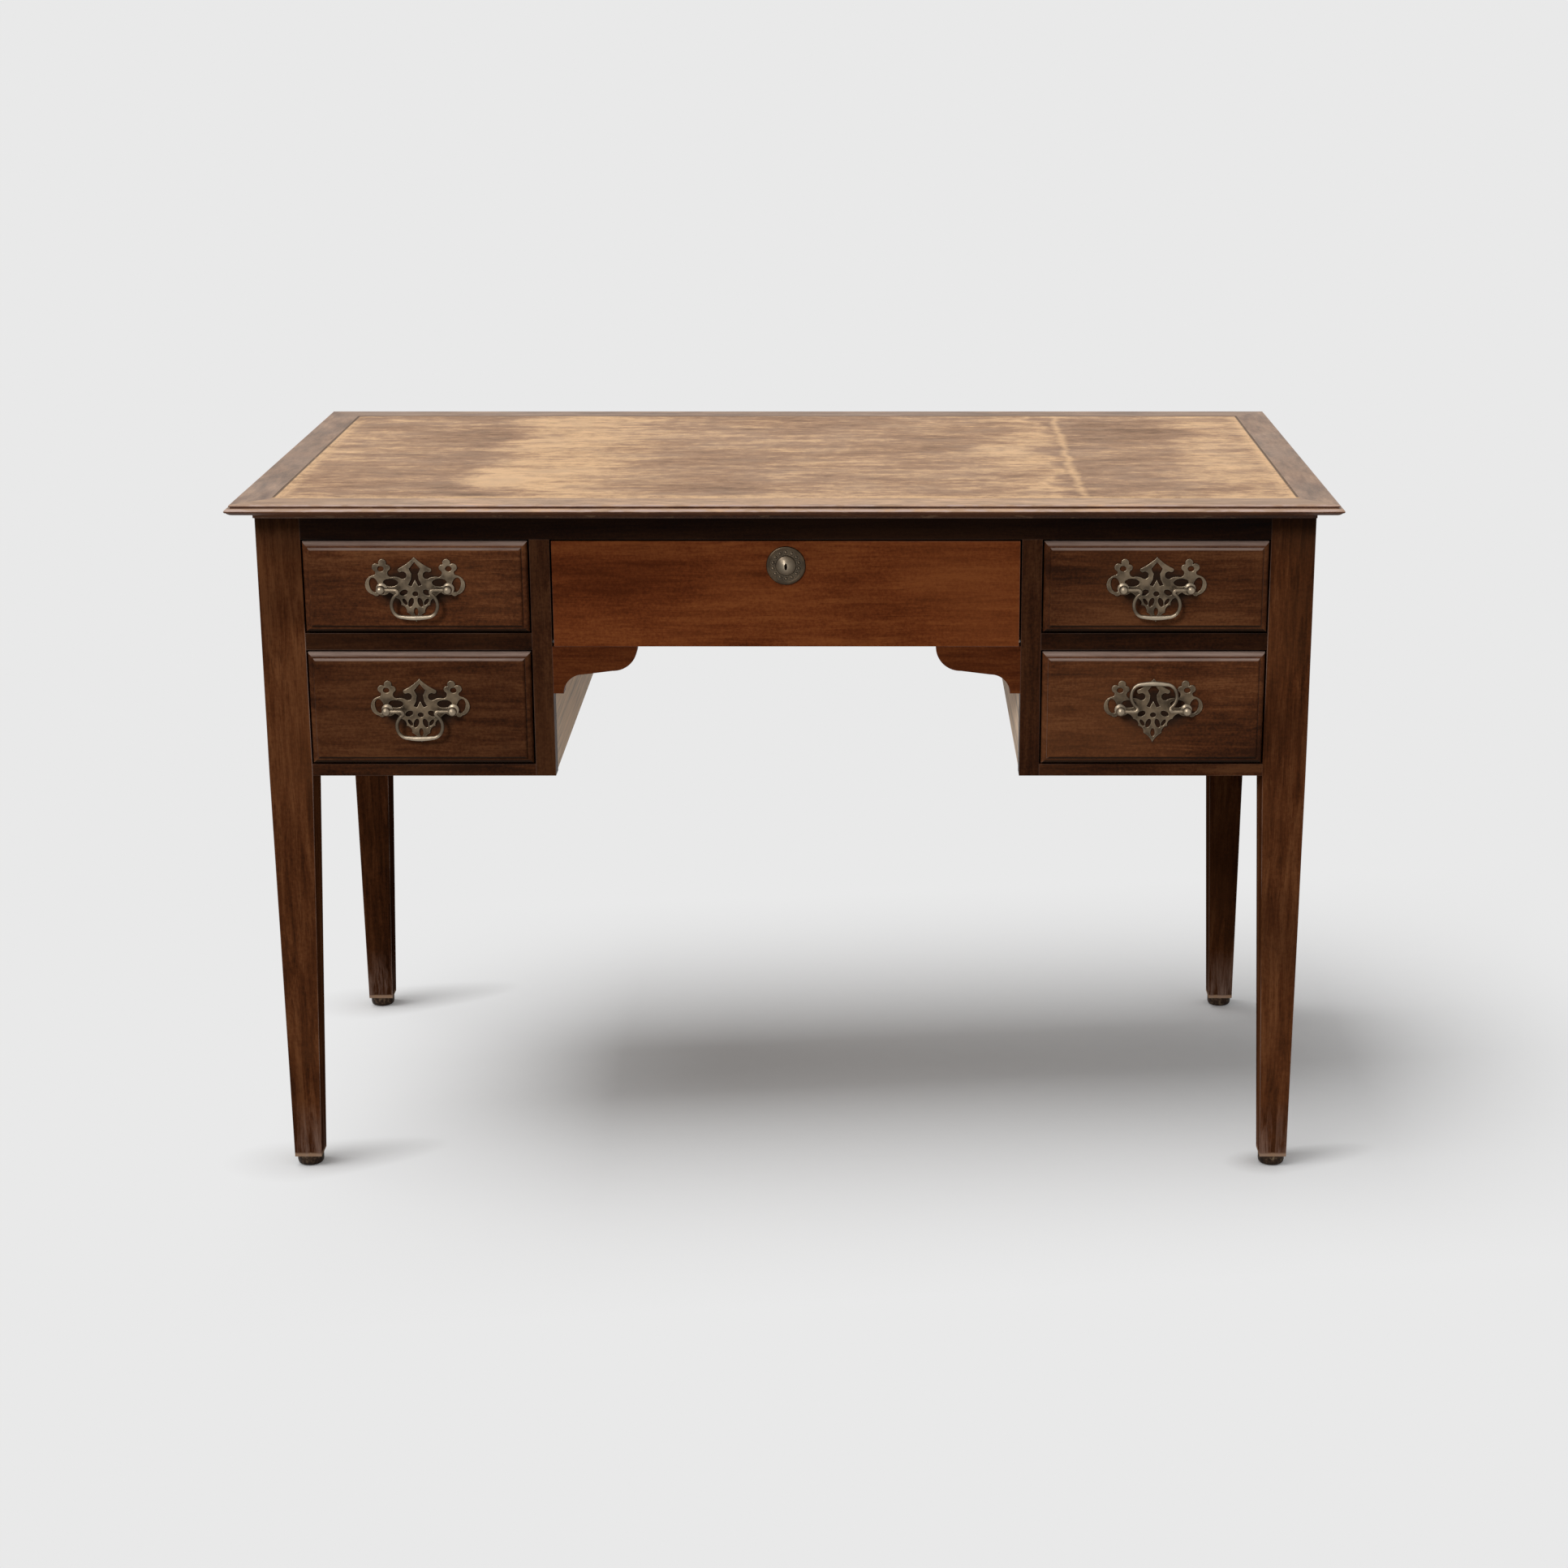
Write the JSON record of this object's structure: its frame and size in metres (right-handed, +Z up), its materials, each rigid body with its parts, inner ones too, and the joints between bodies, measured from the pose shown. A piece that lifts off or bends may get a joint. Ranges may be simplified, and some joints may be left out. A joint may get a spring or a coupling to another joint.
{
  "type": "kneehole desk",
  "caption": "Old mahogany kneehole writing desk with an inset hide top, drawers with pierced brass bail handles, shaped brackets and tapered legs",
  "frame": {"origin": "On the floor, under the middle of the top.", "axes": "+X to the sitter's right, +Y away from the sitter, +Z up."},
  "size_m": [1.17, 0.635, 0.765],
  "materials": {
    "mahogany": "aged polish, worn at edges",
    "red_mahogany": "faded polish",
    "raw_wood": "bare and greyed",
    "drawer_lining": "bare",
    "worn_hide": "rubbed and faded",
    "aged_brass": "dull, darkened",
    "lock_steel": "dull",
    "dark_glide": "dark"
  },
  "bodies": {
    "carcase": {"top_panel": "drawer_lining", "writing_hide": "worn_hide", "top_border_front": "mahogany", "top_border_right": "mahogany", "top_border_back": "mahogany", "top_border_left": "mahogany", "front_left_leg": "mahogany", "front_right_leg": "mahogany", "back_left_leg": "mahogany", "back_right_leg": "mahogany", "foot_glides": "dark_glide", "front_top_rail": "mahogany", "kneehole_stiles": "mahogany", "mid_rails": "mahogany", "bottom_rails": "mahogany", "bank_back_panels": "mahogany", "back_rail": "mahogany", "left_end_panel": "mahogany", "right_end_panel": "mahogany", "left_kneehole_panel": "raw_wood", "right_kneehole_panel": "raw_wood", "bottom_boards": "drawer_lining", "left_corner_bracket": "red_mahogany", "right_corner_bracket": "red_mahogany", "drawer_runners": "drawer_lining"},
    "drawer_upper_left": {"upper_left_drawer_front": "mahogany", "upper_left_drawer_sides": "drawer_lining", "upper_left_drawer_back": "drawer_lining", "upper_left_drawer_bottom": "drawer_lining", "upper_left_handle_plate": "aged_brass", "upper_left_handle_posts": "aged_brass"},
    "bail_upper_left": {"upper_left_bail": "aged_brass"},
    "drawer_upper_right": {"upper_right_drawer_front": "mahogany", "upper_right_drawer_sides": "drawer_lining", "upper_right_drawer_back": "drawer_lining", "upper_right_drawer_bottom": "drawer_lining", "upper_right_handle_plate": "aged_brass", "upper_right_handle_posts": "aged_brass"},
    "bail_upper_right": {"upper_right_bail": "aged_brass"},
    "drawer_lower_left": {"lower_left_drawer_front": "mahogany", "lower_left_drawer_sides": "drawer_lining", "lower_left_drawer_back": "drawer_lining", "lower_left_drawer_bottom": "drawer_lining", "lower_left_handle_plate": "aged_brass", "lower_left_handle_posts": "aged_brass"},
    "bail_lower_left": {"lower_left_bail": "aged_brass"},
    "drawer_lower_right": {"lower_right_drawer_front": "mahogany", "lower_right_drawer_sides": "drawer_lining", "lower_right_drawer_back": "drawer_lining", "lower_right_drawer_bottom": "drawer_lining", "lower_right_handle_plate": "aged_brass", "lower_right_handle_posts": "aged_brass"},
    "bail_lower_right": {"lower_right_bail": "aged_brass"},
    "drawer_middle": {"middle_drawer_front": "red_mahogany", "middle_drawer_sides": "drawer_lining", "middle_drawer_back": "drawer_lining", "middle_drawer_bottom": "drawer_lining", "keyhole_rosette": "aged_brass", "lock_case": "lock_steel"},
    "bolt": {"lock_bolt": "lock_steel"}
  },
  "joints": [
    {"name": "drawer_upper_left_slide", "type": "slide", "parent": "carcase", "child": "drawer_upper_left", "axis": [0, -1, 0], "range_m": [0, 0.36]},
    {"name": "bail_upper_left_swing", "type": "hinge", "parent": "drawer_upper_left", "child": "bail_upper_left", "pos_m": [-0.39375, -0.2921, 0.6695], "axis": [-1, 0, 0], "range_deg": [-11, 191]},
    {"name": "drawer_upper_right_slide", "type": "slide", "parent": "carcase", "child": "drawer_upper_right", "axis": [0, -1, 0], "range_m": [0, 0.36]},
    {"name": "bail_upper_right_swing", "type": "hinge", "parent": "drawer_upper_right", "child": "bail_upper_right", "pos_m": [0.39375, -0.2921, 0.6695], "axis": [-1, 0, 0], "range_deg": [-11, 191]},
    {"name": "drawer_lower_left_slide", "type": "slide", "parent": "carcase", "child": "drawer_lower_left", "axis": [0, -1, 0], "range_m": [0, 0.36]},
    {"name": "bail_lower_left_swing", "type": "hinge", "parent": "drawer_lower_left", "child": "bail_lower_left", "pos_m": [-0.39375, -0.2921, 0.5365], "axis": [-1, 0, 0], "range_deg": [-11, 191]},
    {"name": "drawer_lower_right_slide", "type": "slide", "parent": "carcase", "child": "drawer_lower_right", "axis": [0, -1, 0], "range_m": [0, 0.36]},
    {"name": "bail_lower_right_swing", "type": "hinge", "parent": "drawer_lower_right", "child": "bail_lower_right", "pos_m": [0.39375, -0.2921, 0.5365], "axis": [-1, 0, 0], "range_deg": [-202, 0]},
    {"name": "drawer_middle_slide", "type": "slide", "parent": "carcase", "child": "drawer_middle", "axis": [0, -1, 0], "range_m": [0, 0.36]},
    {"name": "bolt_shoot", "type": "slide", "parent": "drawer_middle", "child": "bolt", "axis": [0, 0, 1], "range_m": [0, 0.0075]}
  ]
}
